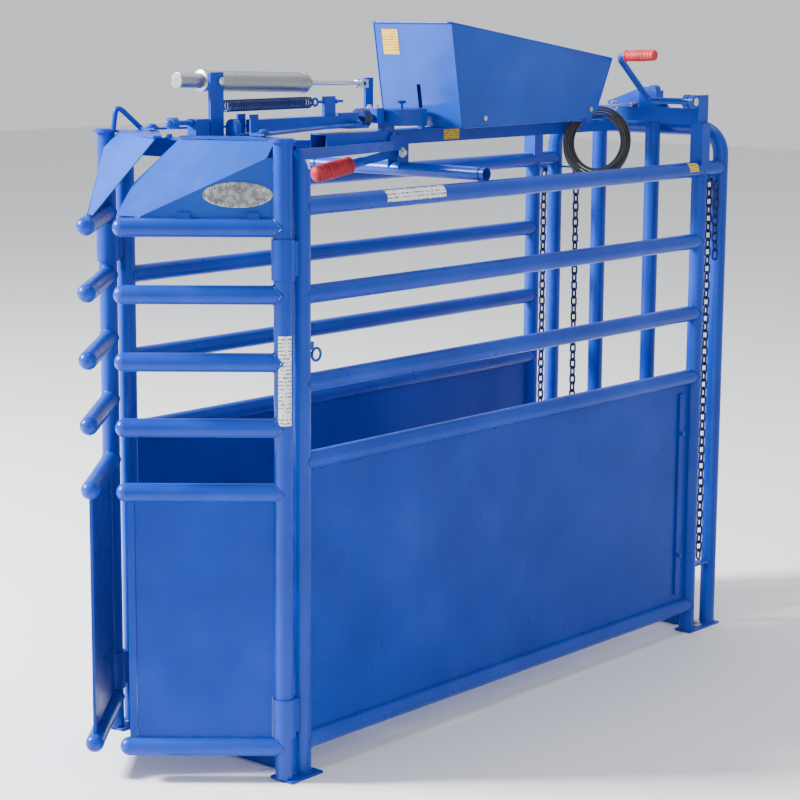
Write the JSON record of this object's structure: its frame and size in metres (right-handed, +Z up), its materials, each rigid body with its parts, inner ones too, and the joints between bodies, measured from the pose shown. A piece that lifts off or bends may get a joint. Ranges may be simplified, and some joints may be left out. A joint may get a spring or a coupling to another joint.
{
  "type": "cattle squeeze chute",
  "caption": "Walk-through livestock handling chute of welded blue pipe with solid lower sides, V-shaped head gates, overhead slide, spring and damper, trip lever, rope coil and rear bar gate",
  "frame": {"origin": "On the floor, midway between the two front frame posts, on the underside of the front sill", "axes": "+X to the side with the tail lever's hand grip, +Y from the front gates to the rear, +Z up"},
  "size_m": [0.899, 2.9539, 2.414],
  "materials": {
    "blue_paint": "gloss",
    "steel": "satin",
    "damper_silver": "satin",
    "chain_steel": "satin",
    "grip_rubber": "satin",
    "black_plastic": "matte",
    "rope_fabric": "matte"
  },
  "bodies": {
    "chute_frame": {"foot_plates": "blue_paint", "front_sill": "blue_paint", "front_posts": "blue_paint", "rear_posts": "blue_paint", "rear_arch": "blue_paint", "near_rails": "blue_paint", "far_rails": "blue_paint", "near_panel": "blue_paint", "far_panel": "blue_paint", "hinge_collars": "blue_paint", "front_header": "blue_paint", "header_deck": "blue_paint", "gate_guides": "blue_paint", "damper_upright": "blue_paint", "center_beam": "blue_paint", "front_cross_tube": "blue_paint", "beam_post": "blue_paint", "beam_braces": "blue_paint", "latch_yoke": "blue_paint", "mechanism_cover": "blue_paint", "cover_bolts": "steel", "cover_brackets": "blue_paint", "rear_sleeves": "blue_paint", "rear_cross_beam": "blue_paint", "rear_gusset": "blue_paint", "rear_sill": "blue_paint", "rear_chain_near": "chain_steel", "rear_chain_far": "chain_steel", "chain_anchors": "blue_paint", "rope_hook": "blue_paint", "rope_coil": "rope_fabric", "trip_rope": "rope_fabric", "post_ring": "blue_paint", "gate_spring": "steel"},
    "near_gate": {"near_gate_post": "blue_paint", "near_gate_rungs": "blue_paint", "near_gate_panel": "blue_paint", "near_gate_wing": "blue_paint", "near_gate_plate": "blue_paint"},
    "far_gate": {"far_gate_post": "blue_paint", "far_gate_rungs": "blue_paint", "far_gate_panel": "blue_paint", "far_gate_wing": "blue_paint", "far_gate_plate": "blue_paint"},
    "gate_slide": {"slide_bar": "blue_paint", "crosshead": "blue_paint", "gate_links": "blue_paint", "slide_rod": "steel", "slide_lugs": "blue_paint"},
    "damper": {"damper_body": "damper_silver"},
    "damper_piston": {"damper_rod": "steel"},
    "trip_lever": {"trip_lever": "blue_paint", "trip_grip": "grip_rubber"},
    "latch_catch": {"latch_catch": "blue_paint"},
    "tail_lever": {"tail_lever": "blue_paint", "tail_grip": "grip_rubber"},
    "near_tail_bar": {"tail_bar_near": "blue_paint"},
    "far_tail_bar": {"tail_bar_far": "blue_paint"},
    "rump_chain": {"rump_chain": "chain_steel"},
    "adjuster": {"adjuster_knob": "black_plastic"}
  },
  "joints": [
    {"name": "near_gate_hinge", "type": "hinge", "parent": "chute_frame", "child": "near_gate", "pos_m": [0.402, -0.083, 0], "axis": [0, 0, 1], "range_deg": [0, 50]},
    {"name": "far_gate_hinge", "type": "hinge", "parent": "chute_frame", "child": "far_gate", "pos_m": [-0.402, -0.083, 0], "axis": [0, 0, 1], "range_deg": [-50, 0]},
    {"name": "gate_slide_travel", "type": "slide", "parent": "chute_frame", "child": "gate_slide", "axis": [0, 1, 0], "range_m": [-0.13947, 0], "deforming": ["gate_spring"]},
    {"name": "damper_pivot", "type": "hinge", "parent": "chute_frame", "child": "damper", "pos_m": [-0.034, 0.036, 2.228], "axis": [1, 0, 0], "range_deg": [-0.43705, 0]},
    {"name": "damper_stroke", "type": "slide", "parent": "damper", "child": "damper_piston", "axis": [0, 0.9994, -0.0334], "range_m": [-0.13937, 0]},
    {"name": "trip_lever_pivot", "type": "hinge", "parent": "chute_frame", "child": "trip_lever", "pos_m": [0.005, 0.925, 1.96], "axis": [1, 0, 0], "range_deg": [0, 25]},
    {"name": "latch_catch_pivot", "type": "hinge", "parent": "chute_frame", "child": "latch_catch", "pos_m": [0, 1.24, 2.15], "axis": [1, 0, 0], "range_deg": [-10, 0]},
    {"name": "tail_lever_pivot", "type": "hinge", "parent": "chute_frame", "child": "tail_lever", "pos_m": [0.402, 2.215, 2.112], "axis": [1, 0, 0], "range_deg": [-70, 0]},
    {"name": "near_tail_bar_pivot", "type": "hinge", "parent": "chute_frame", "child": "near_tail_bar", "pos_m": [0.128, 2.351, 0.078], "axis": [0, 1, 0], "range_deg": [0, 5.25]},
    {"name": "far_tail_bar_pivot", "type": "hinge", "parent": "chute_frame", "child": "far_tail_bar", "pos_m": [-0.128, 2.351, 0.078], "axis": [0, 1, 0], "range_deg": [-5.25, 0]},
    {"name": "rump_chain_swing", "type": "hinge", "parent": "chute_frame", "child": "rump_chain", "pos_m": [-0.292, 2.421, 1.8003], "axis": [0, 1, 0], "range_deg": [-25, 3]},
    {"name": "adjuster_turn", "type": "hinge", "parent": "chute_frame", "child": "adjuster", "pos_m": [0, -0.1, 2.1], "axis": [0, 1, 0], "range_deg": [-180, 180]}
  ],
  "couplings": [
    {"joint": "far_gate_hinge", "follows": "near_gate_hinge", "ratio": -1},
    {"joint": "gate_slide_travel", "follows": "near_gate_hinge", "m_per_rad": -0.15981},
    {"joint": "damper_pivot", "follows": "near_gate_hinge", "ratio": -0.008739},
    {"joint": "damper_stroke", "follows": "near_gate_hinge", "m_per_rad": -0.15971},
    {"joint": "latch_catch_pivot", "follows": "trip_lever_pivot", "ratio": -0.4},
    {"joint": "near_tail_bar_pivot", "follows": "tail_lever_pivot", "ratio": -0.075},
    {"joint": "far_tail_bar_pivot", "follows": "tail_lever_pivot", "ratio": 0.075}
  ]
}
